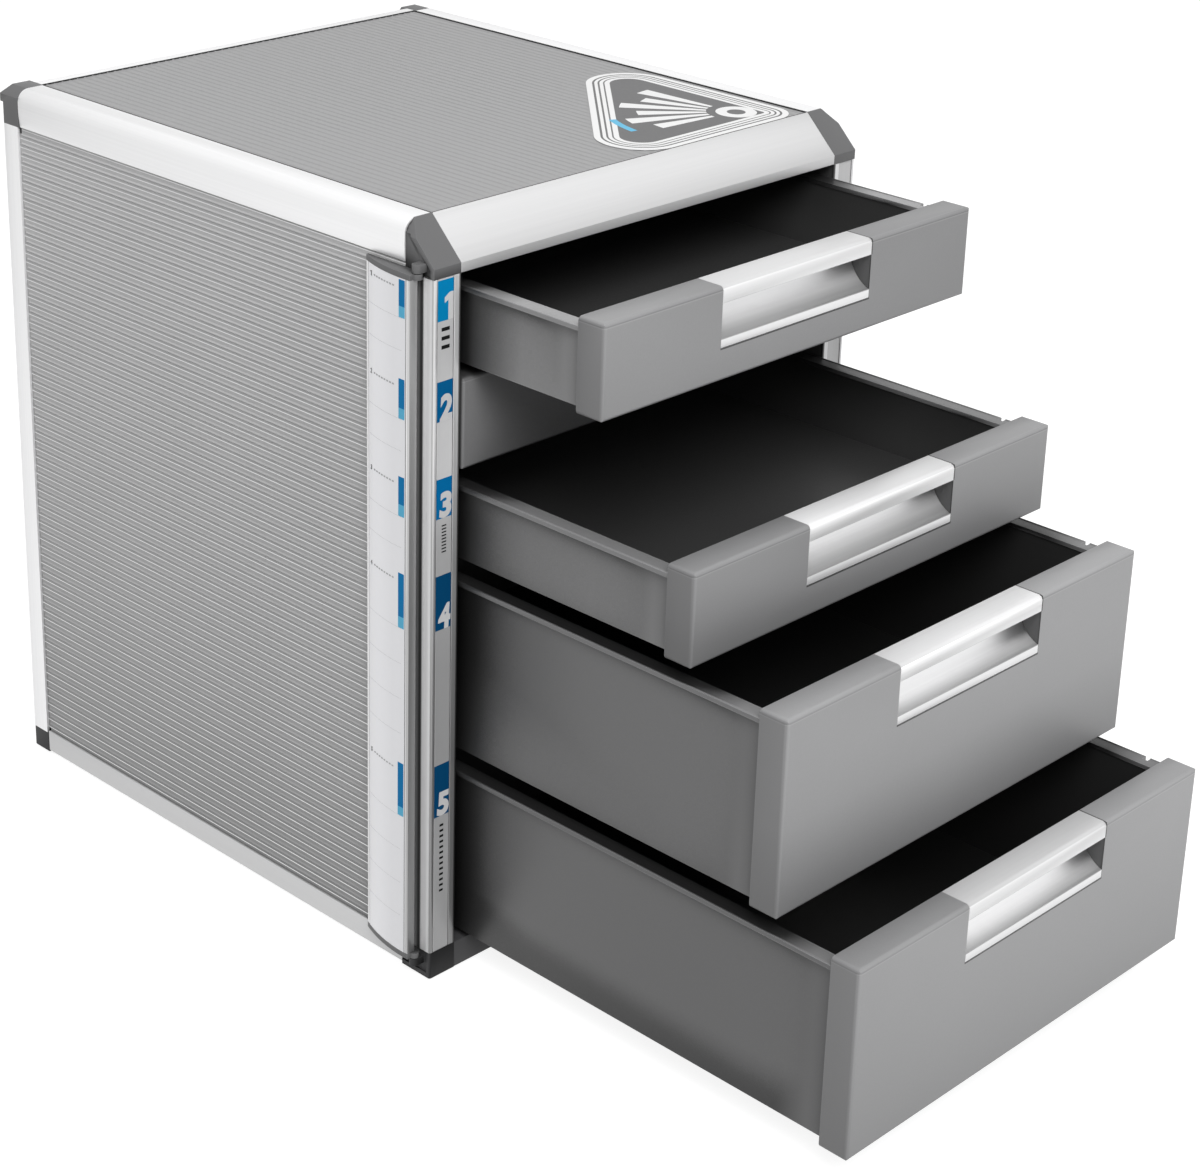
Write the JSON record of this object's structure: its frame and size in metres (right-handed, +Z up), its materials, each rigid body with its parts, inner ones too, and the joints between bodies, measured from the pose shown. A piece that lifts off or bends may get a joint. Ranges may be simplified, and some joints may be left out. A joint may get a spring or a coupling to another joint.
{
  "type": "desktop drawer cabinet",
  "caption": "Free-standing desktop cabinet with an aluminium frame, ribbed side panels, sliding drawers with scooped handles and a hinged index flap.",
  "frame": {"origin": "on the surface the feet stand on, under the middle of the box round the cabinet with its drawers as they stand open", "axes": "+X to the right for someone facing the drawers, +Y to the back, -Y the way the drawers pull out, +Z up"},
  "size_m": [0.313, 0.5964, 0.3993],
  "materials": {
    "frame_aluminium": "fine satin anodised",
    "base_rail": "dark anodised",
    "cap_plastic": "fine grained moulding",
    "side_panel_plastic": "satin ribbed sheet",
    "top_panel_plastic": "satin ribbed sheet",
    "inner_panel_plastic": "plain sheet",
    "runner_plastic": "smooth moulding",
    "strip_plastic": "printed strip with plain numbers",
    "foot_rubber": "dull",
    "label_film": "printed film",
    "screw_steel": "zinc plated",
    "flap_aluminium": "satin anodised",
    "card_plastic": "printed card with plain bars",
    "tray_plastic": "satin moulding",
    "liner_plastic": "black satin moulding",
    "front_plastic": "fine grained moulding",
    "handle_aluminium": "bright satin anodised"
  },
  "bodies": {
    "cabinet": {"top_panel": "top_panel_plastic", "left_side_panel": "side_panel_plastic", "right_side_panel": "side_panel_plastic", "back_panel": "inner_panel_plastic", "bottom_panel": "inner_panel_plastic", "top_front_rail": "frame_aluminium", "top_left_rail": "frame_aluminium", "top_right_rail": "frame_aluminium", "top_back_rail": "frame_aluminium", "bottom_front_rail": "base_rail", "bottom_left_rail": "frame_aluminium", "bottom_right_rail": "frame_aluminium", "bottom_back_rail": "frame_aluminium", "front_left_post": "frame_aluminium", "front_right_post": "frame_aluminium", "back_left_post": "frame_aluminium", "back_right_post": "frame_aluminium", "cap_top_front_left": "cap_plastic", "cap_top_front_right": "cap_plastic", "cap_top_back_left": "cap_plastic", "cap_top_back_right": "cap_plastic", "cap_bottom_front_left": "cap_plastic", "cap_bottom_front_right": "cap_plastic", "cap_bottom_back_left": "cap_plastic", "cap_bottom_back_right": "cap_plastic", "runner_left": "runner_plastic", "runner_right": "runner_plastic", "number_strip": "strip_plastic", "feet": "foot_rubber", "top_label": "label_film", "frame_screws": "screw_steel"},
    "index_flap": {"flap_extrusion": "flap_aluminium", "flap_card": "card_plastic", "flap_top_cap": "cap_plastic", "flap_bottom_cap": "cap_plastic"},
    "drawer_1": {"drawer_1_tray": "tray_plastic", "drawer_1_liner": "liner_plastic", "drawer_1_front": "front_plastic", "drawer_1_handle": "handle_aluminium"},
    "drawer_2": {"drawer_2_tray": "tray_plastic", "drawer_2_liner": "liner_plastic", "drawer_2_front": "front_plastic", "drawer_2_handle": "handle_aluminium"},
    "drawer_3": {"drawer_3_tray": "tray_plastic", "drawer_3_liner": "liner_plastic", "drawer_3_front": "front_plastic", "drawer_3_handle": "handle_aluminium"},
    "drawer_4": {"drawer_4_tray": "tray_plastic", "drawer_4_liner": "liner_plastic", "drawer_4_front": "front_plastic", "drawer_4_handle": "handle_aluminium"},
    "drawer_5": {"drawer_5_tray": "tray_plastic", "drawer_5_liner": "liner_plastic", "drawer_5_front": "front_plastic", "drawer_5_handle": "handle_aluminium"}
  },
  "joints": [
    {"name": "drawer_1_slide", "type": "slide", "parent": "cabinet", "child": "drawer_1", "axis": [0, -1, 0], "range_m": [-0.09, 0.18]},
    {"name": "drawer_2_slide", "type": "slide", "parent": "cabinet", "child": "drawer_2", "axis": [0, -1, 0], "range_m": [0, 0.27]},
    {"name": "drawer_3_slide", "type": "slide", "parent": "cabinet", "child": "drawer_3", "axis": [0, -1, 0], "range_m": [-0.149, 0.121]},
    {"name": "drawer_4_slide", "type": "slide", "parent": "cabinet", "child": "drawer_4", "axis": [0, -1, 0], "range_m": [-0.206, 0.064]},
    {"name": "drawer_5_slide", "type": "slide", "parent": "cabinet", "child": "drawer_5", "axis": [0, -1, 0], "range_m": [-0.254, 0.016]},
    {"name": "index_flap_hinge", "type": "hinge", "parent": "cabinet", "child": "index_flap", "pos_m": [-0.1517, -0.03625, 0.195], "axis": [0, 0, 1], "range_deg": [0, 90]}
  ]
}
